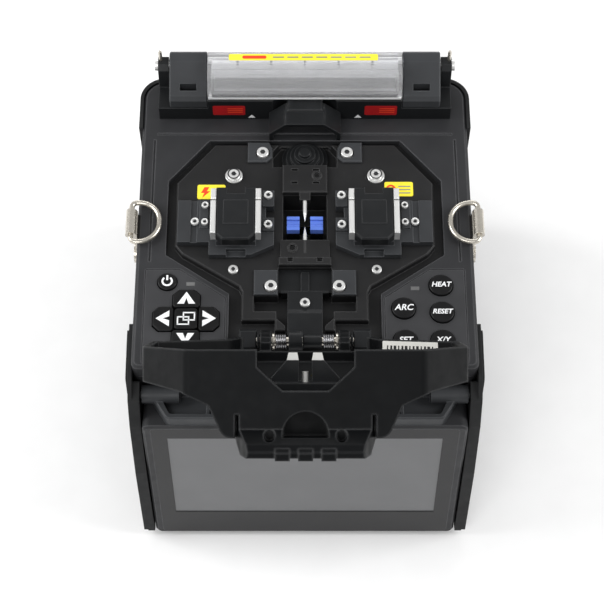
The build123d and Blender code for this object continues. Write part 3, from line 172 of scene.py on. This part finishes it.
def finish(
    name, colour, rough, metal=0.0, gloss=0.22, grain=(1800.0, 0.1),
    patch=0.12, edge_wear_and_highlight=0.0, edge=0.3, blotch=0.07,
):
    """A moulded or machined finish: fine grain, slow change of tone, rounded edges made paler both for wear
    and as painted highlight.
    """
    material, tree, principled, place = shader(name)
    slow = ramp(tree, noise(tree, place, TONE_SCALE), *NOISE_BAND, 0.0, 1.0)
    tone = mixed(tree, slow, shaded(colour, 1.0 - patch), shaded(colour, 1.0 + patch))
    normal = rounded_normal(tree, edge)
    if edge_wear_and_highlight:
        geometry = tree.nodes.new("ShaderNodeNewGeometry")
        dot = tree.nodes.new("ShaderNodeVectorMath")
        dot.operation = "DOT_PRODUCT"
        tree.links.new(normal, dot.inputs[0])
        tree.links.new(geometry.outputs["Normal"], dot.inputs[1])
        # painted highlight and wear: rounded edges get a paler colour, partly as wear and partly standing in
        # for the light lines the edges catch
        rubbed_and_lit_edge = ramp(tree, dot.outputs["Value"], FLAT_FACE, WORN_LIT_EDGE, 0.0, edge_wear_and_highlight)
        tone = mixed(tree, rubbed_and_lit_edge, tone, shaded(colour, WORN_LIT_GAIN, WORN_LIT_LIFT))
    tree.links.new(tone, principled.inputs["Base Color"])
    smear = noise(tree, place, SMEAR_SCALE)
    spread = ramp(tree, smear, *SHINE_BAND, max(LEAST_ROUGH, rough - blotch), min(1.0, rough + blotch))
    tree.links.new(spread, principled.inputs["Roughness"])
    principled.inputs["Metallic"].default_value = metal
    principled.inputs["Specular IOR Level"].default_value = gloss
    scale, strength = grain
    relief(tree, normal, noise(tree, place, scale, 2.0), strength, GRAIN_DEPTH)
    return material


def brushed(name, colour, rough, axis, metal=1.0, edge=0.15):
    """Metal with fine streaks along one axis."""
    material, tree, principled, place = shader(name)
    stretch = tree.nodes.new("ShaderNodeMapping")
    stretch.inputs["Scale"].default_value = tuple(STREAK_LONG if i == axis else STREAK_FINE for i in range(3))
    tree.links.new(place, stretch.inputs["Vector"])
    streak = noise(tree, stretch.outputs["Vector"], 1.0, 2.0)
    tree.links.new(mixed(tree, streak, shaded(colour, STREAK_SHADE), colour), principled.inputs["Base Color"])
    spread = ramp(tree, streak, *SHINE_BAND, rough * (1.0 - STREAK_SPREAD), rough * (1.0 + STREAK_SPREAD))
    tree.links.new(spread, principled.inputs["Roughness"])
    principled.inputs["Metallic"].default_value = metal
    relief(tree, rounded_normal(tree, edge), streak, STREAK_BUMP, STREAK_DEPTH)
    return material


def banded(name, upper, lower, height):
    """A block whose lower part has another colour, parted at a height in metres."""
    material = finish(name, upper, 0.3, edge=0.2, patch=0.25)
    tree = material.node_tree
    base = tree.nodes["Principled BSDF"].inputs["Base Color"]
    place = tree.nodes.new("ShaderNodeTexCoord").outputs["Object"]
    parts = tree.nodes.new("ShaderNodeSeparateXYZ")
    tree.links.new(place, parts.inputs["Vector"])
    above = ramp(tree, parts.outputs["Z"], height - BLUE_EDGE, height + BLUE_EDGE, 0.0, 1.0)
    upper_tone = base.links[0].from_socket
    tree.links.new(mixed(tree, above, lower, upper_tone), base)
    return material


def clear_resin(name):
    """Clear acrylic, a little milky, with fine handling marks."""
    material, tree, principled, place = shader(name)
    haze = noise(tree, place, HAZE_SCALE)
    milky = mixed(tree, haze, (0.88, 0.89, 0.91), (0.97, 0.97, 0.98))
    tree.links.new(milky, principled.inputs["Base Color"])
    tree.links.new(ramp(tree, haze, *SHINE_BAND, 0.08, 0.2), principled.inputs["Roughness"])
    principled.inputs["Transmission Weight"].default_value = 0.78
    principled.inputs["IOR"].default_value = 1.3
    return material


SMOOTH = (300.0, 0.0)
BLUE_FOOT = 0.1108  # metres, the V-groove blocks are blue above this height and near black below it
FINISHES = {
    "casing": finish("casing_plastic", (0.025, 0.0255, 0.0275), 0.5, edge_wear_and_highlight=0.9, edge=0.8),
    "cover": finish(
        "cover_plastic", (0.0035, 0.0039, 0.0044), 0.48, gloss=0.09, edge_wear_and_highlight=1.0, edge=1.2, grain=(1500.0, 0.12)
    ),
    "splice_grey": finish("splice_deck_plastic", (0.015, 0.015, 0.0155), 0.45, edge_wear_and_highlight=0.9, edge=0.6),
    "black_trim": finish("black_trim_plastic", (0.010, 0.0108, 0.0118), 0.4, edge_wear_and_highlight=0.7, edge=0.5),
    "grey_clamp": finish("grey_clamp_plastic", (0.036, 0.038, 0.041), 0.44, edge_wear_and_highlight=0.7, edge=0.5),
    "key_plastic": finish("key_silicone", (0.006, 0.006, 0.0065), 0.35, edge=0.5, grain=(2400.0, 0.05)),
    "lamp_white": finish("lamp_lens", (0.14, 0.14, 0.14), 0.3, edge=0.2),
    "rubber": finish("rubber_black", (0.014, 0.0145, 0.015), 0.7, edge_wear_and_highlight=0.2, edge=0.6, grain=(1300.0, 0.2)),
    "bright_steel": brushed("bright_steel", (0.86, 0.86, 0.85), 0.34, 1, metal=0.65),
    "nickel": finish(
        "warm_nickel", (0.62, 0.585, 0.52), 0.27, metal=0.9, gloss=0.5, edge=0.2, grain=(700.0, 0.02),
        patch=0.03, blotch=0.03,
    ),
    "spring_steel": brushed("spring_steel", (0.30, 0.30, 0.31), 0.3, 0),
    "die_cast": finish("die_cast_metal", (0.30, 0.31, 0.32), 0.45, metal=1.0, edge=0.3, grain=(900.0, 0.25)),
    "white_ceramic": finish("white_ceramic", (0.78, 0.78, 0.75), 0.35, edge=0.2, patch=0.05),
    "blue_ceramic": banded("blue_ceramic", (0.12, 0.22, 0.72), (0.006, 0.006, 0.007), BLUE_FOOT),
    "clear_plastic": clear_resin("clear_resin"),
    "board_green": finish("board_green", (0.02, 0.12, 0.05), 0.4, edge=0.1),
    "screen_glass": finish("screen_border", (0.010, 0.010, 0.011), 0.2, edge=0.2, grain=SMOOTH, blotch=0.02),
    "display": finish(
        "display_glass", (0.14, 0.142, 0.146), 0.3, edge=0.1, grain=SMOOTH, patch=0.03, blotch=0.01
    ),
    "battery_wrap": finish("battery_plastic", (0.02, 0.02, 0.022), 0.5, edge=0.4),
}

PANEL_FINISH = finish("keypad_plastic", (0.038, 0.0385, 0.041), 0.5, edge_wear_and_highlight=0.7, edge=0.5)
OWN_FINISH = {
    "keypad_panel_left": PANEL_FINISH,
    "keypad_panel_right": PANEL_FINISH,
    "camera_bridge": FINISHES["black_trim"],
}
for node_name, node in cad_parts.items():
    for held in node.material_slots:
        held.material = OWN_FINISH.get(node_name) or FINISHES[held.material.name.split(".")[0]]

ink_white = finish("ink_white", (0.86, 0.87, 0.88), 0.5, edge=0.02, patch=0.03)
ink_black = finish("ink_black", (0.02, 0.02, 0.02), 0.5, edge=0.02)
ink_red = finish("ink_red", (0.75, 0.06, 0.02), 0.5, edge=0.02)
ink_grey = finish("ink_grey", (0.22, 0.23, 0.24), 0.5, edge=0.02)
label_yellow = finish("label_yellow", (0.90, 0.76, 0.05), 0.42, edge=0.03, patch=0.05)
label_red = finish("label_red", (0.42, 0.012, 0.014), 0.38, edge=0.03, patch=0.15)
label_white = finish("label_white", (0.82, 0.81, 0.76), 0.45, edge=0.03, patch=0.04)
frosted = finish("frosted_edge", (0.80, 0.81, 0.82), 0.5, edge=0.05, patch=0.04)
# painted shade: near black, laid into screw sockets in place of the shade inside them
socket_dark = finish("socket_dark", (0.03, 0.03, 0.032), 0.4, edge=0.05)


# ---------------------------------------------------------------- floor
FLOOR_HALF = 6.0
FLOOR_DROP = 0.0002  # metres below the feet

floor_mesh = bpy.data.meshes.new("floor")
ground = bmesh.new()
bmesh.ops.create_grid(ground, x_segments=1, y_segments=1, size=FLOOR_HALF)
ground.to_mesh(floor_mesh)
ground.free()
floor_mesh.materials.append(finish("floor_paper", (0.9, 0.9, 0.9), 0.9, patch=0.01, edge=0.0))
floor = bpy.data.objects.new("floor", floor_mesh)
floor.location = (0.0, 0.0, -FLOOR_DROP)
bpy.context.scene.collection.objects.link(floor)


# ---------------------------------------------------------------- places on the object
SIDES = ((-1, "left"), (1, "right"))


def frame_at(origin, across, up):
    """A flat place on the object, in mm: x runs across it, y up it and z out of it."""
    x_axis = Vector(across).normalized()
    z_axis = x_axis.cross(Vector(up)).normalized()
    y_axis = z_axis.cross(x_axis)
    turn = Matrix((x_axis, y_axis, z_axis)).transposed().to_4x4()
    return Matrix.Translation(Vector(origin) * MM) @ turn @ Matrix.Scale(MM, 4)


def level(height, x=0.0, y=0.0):
    """A flat place facing up at a height in mm, with x and y along the object's own."""
    return frame_at((x, y, height), (1, 0, 0), (0, 1, 0))


def front(depth):
    """An upright place facing the front at a depth in mm, with x across and y up."""
    return frame_at((0.0, depth, 0.0), (1, 0, 0), (0, 0, 1))


# ---------------------------------------------------------------- flat outlines, in mm
def rounded(x, y, wide, high, corner, steps=5):
    """Outline of a rectangle with round corners about a centre."""
    outline = []
    for quarter, (sx, sy) in enumerate(((1, 1), (-1, 1), (-1, -1), (1, -1))):
        for step in range(steps + 1):
            angle = math.pi / 2 * (quarter + step / steps)
            outline.append((
                x + sx * (wide / 2 - corner) + corner * math.cos(angle),
                y + sy * (high / 2 - corner) + corner * math.sin(angle),
            ))
    return outline


def bar(x, y, wide, high):
    """Outline of a rectangle about a centre."""
    return [
        (x - wide / 2, y - high / 2),
        (x + wide / 2, y - high / 2),
        (x + wide / 2, y + high / 2),
        (x - wide / 2, y + high / 2),
    ]


def on_circle(x, y, radius, degrees):
    return x + radius * math.cos(math.radians(degrees)), y + radius * math.sin(math.radians(degrees))


def arc_band(x, y, radius, wide, start, end, steps=28):
    """Outline of part of a ring, between two angles in degrees."""
    angles = [start + (end - start) * i / steps for i in range(steps + 1)]
    outer = [on_circle(x, y, radius + wide / 2, a) for a in angles]
    inner = [on_circle(x, y, radius - wide / 2, a) for a in reversed(angles)]
    return outer + inner


def hexagon(x, y, radius):
    return [on_circle(x, y, radius, a) for a in range(0, 360, 60)]


# ---------------------------------------------------------------- pieces
RING_STEPS = 48


def ride_mesh(name, mesh, body, material):
    """Makes a piece of a mesh in metres, with one finish, and lets it ride on a body."""
    mesh.materials.clear()
    mesh.materials.append(material)
    piece = bpy.data.objects.new(name, mesh)
    bpy.context.scene.collection.objects.link(piece)
    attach(piece, body)
    return piece


def place_piece(name, built, place, body, material, smooth=None):
    """Turns a bmesh in local mm into a piece riding on a body."""
    mesh = bpy.data.meshes.new(name)
    bmesh.ops.transform(built, matrix=place, verts=built.verts)
    bmesh.ops.recalc_face_normals(built, faces=built.faces)
    built.to_mesh(mesh)
    built.free()
    if smooth:
        mesh.shade_smooth()
        mesh.set_sharp_from_angle(angle=math.radians(smooth))
    return ride_mesh(name, mesh, body, material)


def slabs(name, outlines, thick, place, body, material):
    """Thin flat shapes with the given outlines, standing on a place."""
    built = bmesh.new()
    for outline in outlines:
        low = [built.verts.new((x, y, 0.0)) for x, y in outline]
        high = [built.verts.new((x, y, thick)) for x, y in outline]
        built.faces.new(low)
        built.faces.new(high)
        for i in range(len(outline)):
            j = (i + 1) % len(outline)
            built.faces.new((low[i], low[j], high[j], high[i]))
    built.normal_update()
    bmesh.ops.triangulate(built, faces=[face for face in built.faces if len(face.verts) > 4])
    return place_piece(name, built, place, body, material)


LETTER_DEPTH = 0.02
LETTER_LIFT = 0.03
LETTER_LEAN = 0.22
LETTER_BOLD = 0.07


def lettering(name, words, high, x, y, place, body, material):
    """Flat printed words, leaning and bold, centred at a point of a place."""
    curve = bpy.data.curves.new(name, "FONT")
    curve.body = words
    curve.size = high
    curve.shear = LETTER_LEAN
    curve.offset = LETTER_BOLD
    curve.extrude = LETTER_DEPTH
    curve.align_x = "CENTER"
    curve.align_y = "CENTER"
    holder = bpy.data.objects.new(name + "_curve", curve)
    bpy.context.scene.collection.objects.link(holder)
    mesh = bpy.data.meshes.new_from_object(holder)
    bpy.data.objects.remove(holder)
    mesh.transform(place @ Matrix.Translation((x, y, LETTER_LIFT)))
    return ride_mesh(name, mesh, body, material)


def lathe(name, profile, place, body, material, facets=()):
    """A turned part about the place's z axis; facets lists profile points drawn as a hexagon."""
    built = bmesh.new()
    rings = []
    for index, (radius, height) in enumerate(profile):
        ring = []
        for step in range(RING_STEPS):
            angle = 2 * math.pi * step / RING_STEPS
            reach = radius
            if index in facets:
                off = (angle % (math.pi / 3)) - math.pi / 6
                reach = radius * math.cos(math.pi / 6) / math.cos(off)
            ring.append(built.verts.new((reach * math.cos(angle), reach * math.sin(angle), height)))
        rings.append(ring)
    for low, high in zip(rings, rings[1:]):
        for step in range(RING_STEPS):
            after = (step + 1) % RING_STEPS
            built.faces.new((low[step], low[after], high[after], high[step]))
    built.faces.new(rings[0])
    built.faces.new(rings[-1])
    return place_piece(name, built, place, body, material, smooth=35.0)


# ---------------------------------------------------------------- printed legends on the keys
INK = 0.05  # thickness of print
key_face = level(113.0)

POWER = (-55.4, -18.7)
POWER_LINE = 0.75
power_ring = arc_band(*POWER, 1.9, POWER_LINE, 128, 412)
power_stroke = bar(POWER[0], POWER[1] + 1.6, POWER_LINE, 2.3)
slabs("legend_power", [power_ring, power_stroke], INK, key_face, "button_power", ink_white)

KEY_WORDS = (  # key, words, x, y, letter height
    ("heat", "HEAT", 54.6, -20.2, 3.1),
    ("arc", "ARC", 39.4, -30.7, 3.7),
    ("reset", "RESET", 54.7, -32.5, 2.95),
    ("set", "SET", 39.7, -45.2, 3.4),
    ("axis", "X/Y", 54.5, -45.2, 3.4),
)
for key, words, x, y, high in KEY_WORDS:
    lettering("legend_" + key, words, high, x, y, key_face, "button_" + key, ink_white)

PAD = (-47.4, -35.6)
ARROW = [(0.0, 12.0), (-3.6, 6.6), (-0.9, 6.6), (0.0, 9.2), (0.9, 6.6), (3.6, 6.6)]
for key, turn in (("up", 0), ("left", 90), ("down", 180), ("right", 270)):
    c, s = math.cos(math.radians(turn)), math.sin(math.radians(turn))
    outline = [(PAD[0] + c * x - s * y, PAD[1] + s * x + c * y) for x, y in ARROW]
    slabs("legend_" + key, [outline], INK, key_face, "button_" + key, ink_white)

ICON_LINE = 0.55
ICON_WIDE = 4.4
ICON_HIGH = 3.3
icon = []
for x, y in ((PAD[0] - 1.05, PAD[1] - 1.0), (PAD[0] + 1.25, PAD[1] + 0.9)):
    icon += [bar(x, y + side * ICON_HIGH / 2, ICON_WIDE + ICON_LINE, ICON_LINE) for side in (-1, 1)]
    icon += [bar(x + side * ICON_WIDE / 2, y, ICON_LINE, ICON_HIGH) for side in (-1, 1)]
slabs("legend_menu", icon, INK, key_face, "button_menu", ink_white)


# ---------------------------------------------------------------- blank coloured labels
LABEL = 0.08  # thickness
LABEL_CORNER = 0.8
PRINT_LIFT = 0.09  # print on the deck and heater labels stands this far off the wall

DECK_TOP = 112.0
deck_face = level(DECK_TOP)
deck_print = level(DECK_TOP + PRINT_LIFT)
deck_left = rounded(-38.7, 24.1, 11.6, 7.0, LABEL_CORNER)
deck_right = rounded(38.9, 25.5, 11.8, 7.0, LABEL_CORNER)
slabs("label_deck_left", [deck_left], LABEL, deck_face, "chassis", label_yellow)
slabs("label_deck_right", [deck_right], LABEL, deck_face, "chassis", label_yellow)
SPARK = [
    (-41.6, 26.4), (-39.6, 26.4), (-40.6, 24.4), (-39.2, 24.4), (-42.4, 21.4), (-41.6, 23.6), (-43.0, 23.6),
]
slabs("mark_deck_left", [SPARK], INK, deck_print, "chassis", ink_red)
deck_lines = [bar(-36.0, y, 4.6, 0.5) for y in (22.4, 23.8, 25.2)]
slabs("lines_deck_left", deck_lines, INK, deck_print, "chassis", ink_grey)
slabs("mark_deck_right", [arc_band(35.6, 25.6, 1.6, 0.8, 0, 360)], INK, deck_print, "chassis", ink_red)
deck_lines = [bar(41.2, y, 5.0, 0.5) for y in (23.6, 25.2, 26.8)]
slabs("lines_deck_right", deck_lines, INK, deck_print, "chassis", ink_grey)

HEATER_WALL = 60.6
HEATER_LABEL = (31.9, 118.3)
HEATER_MARK = (22.4, 113.0)
heater_wall = front(HEATER_WALL)
heater_print = front(HEATER_WALL - PRINT_LIFT)
for side, word in SIDES:
    x, z = side * HEATER_LABEL[0], HEATER_LABEL[1]
    plate = rounded(x, z, 13.6, 6.6, LABEL_CORNER)
    slabs("label_heater_" + word, [plate], LABEL, heater_wall, "chassis", label_red)
    lines = [bar(x + 2.6, z + step, 6.4, 0.5) for step in (-1.3, 0.0, 1.3)]
    slabs("lines_heater_" + word, lines, INK, heater_print, "chassis", ink_red)
    x, z = side * HEATER_MARK[0], HEATER_MARK[1]
    peak = [(x - 1.5, z), (x + 1.5, z), (x, z + 2.2)]
    slabs("mark_heater_" + word, [peak], INK, heater_wall, "chassis", ink_white)

# a white label on the slanting wall inside the cover, just under its rim
cover_wall = frame_at((39.34, -62.4, 142.87), (0.846, -0.265, 0.459), (0.0, 0.866, 0.5))
cover_print = cover_wall @ Matrix.Translation((0.0, 0.0, LABEL))
slabs("label_cover", [rounded(0.0, -3.4, 23.6, 8.6, 0.5)], LABEL, cover_wall, "windshield", label_white)
BAR_PITCH = 1.6
BAR_WIDTHS = (0.5, 0.8, 1.1)
bars = [bar(BAR_PITCH * (i - 6), -1.5, BAR_WIDTHS[i % 3], 1.5) for i in range(13)]
slabs("bars_cover", bars, INK, cover_print, "windshield", ink_black)

LID_TOP = 136.2
LID_STRIP = 74.9  # depth of the strip on the clear lid
lid_print = level(LID_TOP + LABEL)
strip = rounded(-0.6, LID_STRIP, 62.0, 3.2, 0.7)
slabs("label_lid", [strip], LABEL, level(LID_TOP), "heater_cover", label_yellow)
slabs("mark_lid", [rounded(-21.0, LID_STRIP, 10.0, 1.6, 0.7)], INK, lid_print, "heater_cover", ink_red)
dashes = [bar(x, LID_STRIP, 4.6, 0.6) for x in range(-11, 26, 6)]
slabs("lines_lid", dashes, INK, lid_print, "heater_cover", ink_grey)
LIP_DEPTH = 60.8
slabs("lid_lip", [rounded(0.0, 126.7, 80.0, 1.0, 0.4)], 0.1, front(LIP_DEPTH), "heater_cover", frosted)


# ---------------------------------------------------------------- painted shade: dark hexagons in the deck screws' sockets
SOCKET_SINK = 0.03  # the painted socket shade is set this far into the heads


def head_top(node, x, y, reach):
    """Height in mm of the highest point of a node near a place."""
    points = [v.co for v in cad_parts[node].data.vertices]
    return max(p.z for p in points if math.hypot(p.x - x * MM, p.y - y * MM) < reach * MM) / MM


DECK_SOCKETS = (  # x, y, radius, with a washer ring
    (17.6, 42.6, 1.15, False),
    (13.7, -21.2, 1.15, False),
    (29.5, 31.8, 1.0, True),
    (29.0, -13.0, 0.85, False),
)
for index, (x, y, radius, ringed) in enumerate(DECK_SOCKETS):
    for side, word in SIDES:
        face = level(head_top("deck_screws", side * x, y, 2.4) - SOCKET_SINK)
        shapes = [hexagon(side * x, y, radius)]
        if ringed:
            shapes.append(arc_band(side * x, y, 2.35, 0.55, 0, 360))
        slabs(f"socket_{index}_{word}", shapes, INK, face, "chassis", socket_dark)
face = level(head_top("deck_screws", 0.0, -28.0, 1.5) - SOCKET_SINK)
slabs("socket_middle", [hexagon(0.0, -28.0, 0.9)], INK, face, "chassis", socket_dark)


# ---------------------------------------------------------------- screws on the moving stages
SCREW_HIGH = 1.1
SCREW_RECESS = (4, 5, 6)  # profile points that form the hexagon recess
STAGE_SCREWS = (  # x, y, z, radius
    (15.0, 19.6, 116.4, 1.8),
    (15.0, 5.6, 116.4, 1.8),
    (40.8, 15.0, 116.0, 1.5),
    (40.8, 7.0, 116.0, 1.5),
    (44.9, 7.6, 115.2, 1.7),
)
SOCKET_LIFT = 0.3
for side, word in SIDES:
    body = f"stage_{word}_body"
    for row, (x, y, z, radius) in enumerate(STAGE_SCREWS):
        profile = [
            (radius, 0.0),
            (radius, SCREW_HIGH - 0.35),
            (radius - 0.12, SCREW_HIGH - 0.12),
            (radius - 0.4, SCREW_HIGH),
            (radius * 0.58, SCREW_HIGH),
            (radius * 0.52, SCREW_HIGH - 0.1),
            (radius * 0.52, SCREW_HIGH - 0.8),
            (radius * 0.2, SCREW_HIGH - 0.95),
        ]
        name = f"stage_screw_{word}_{row}"
        lathe(name, profile, level(z, side * x, y), body, FINISHES["bright_steel"], facets=SCREW_RECESS)
        # painted shade: a dark hexagon laid inside the recess of each screw head
        shape = hexagon(side * x, y, radius * 0.5)
        slabs(f"stage_socket_{word}_{row}", [shape], INK, level(z + SOCKET_LIFT), body, socket_dark)


# ---------------------------------------------------------------- sleeves and springs on the cover's rod
HINGE_AXIS = (-47.0, 115.0)
SLEEVE_BREAK = 0.3
COIL_STEPS = 20
COIL_TURNS = 5
COIL_RADIUS = 2.62
WIRE = 0.42


def sleeve(name, start, end, radius):
    """A turned sleeve with broken edges on the hinge rod."""
    long = end - start
    profile = [
        (radius - SLEEVE_BREAK, 0.0),
        (radius, SLEEVE_BREAK),
        (radius, long - SLEEVE_BREAK),
        (radius - SLEEVE_BREAK, long),
    ]
    place = frame_at((start, *HINGE_AXIS), (0, 1, 0), (0, 0, 1))
    return lathe(name, profile, place, "chassis", FINISHES["black_trim"])


def helix(name, start, end):
    """A wound spring about the hinge rod."""
    curve = bpy.data.curves.new(name, "CURVE")
    curve.dimensions = "3D"
    curve.bevel_depth = WIRE * MM
    curve.bevel_resolution = 3
    spline = curve.splines.new("POLY")
    count = COIL_TURNS * COIL_STEPS
    spline.points.add(count)
    for index in range(count + 1):
        angle = 2 * math.pi * index / COIL_STEPS
        x = start + WIRE + (end - start - 2 * WIRE) * index / count
        spline.points[index].co = (
            x * MM,
            (HINGE_AXIS[0] + COIL_RADIUS * math.cos(angle)) * MM,
            (HINGE_AXIS[1] + COIL_RADIUS * math.sin(angle)) * MM,
            1.0,
        )
    curve.materials.append(FINISHES["spring_steel"])
    piece = bpy.data.objects.new(name, curve)
    bpy.context.scene.collection.objects.link(piece)
    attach(piece, "chassis")
    return piece


POST = [(0.8, 0.0), (0.8, 5.2), (0.55, 5.8), (0.2, 6.0)]
sleeve("hinge_sleeve", -0.9, 6.7, 2.7)
for side, word in SIDES:
    sleeve("hinge_spacer_" + word, *sorted((side * 17.8, side * 18.9)), 3.0)
    lathe("heater_post_" + word, POST, level(130.9, side * 60.4, 77.6), "chassis", FINISHES["nickel"])

spring_left = helix("spring_left", -11.9, -6.7)
helix("spring_right", 6.9, 12.1)
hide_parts("hinge_springs")
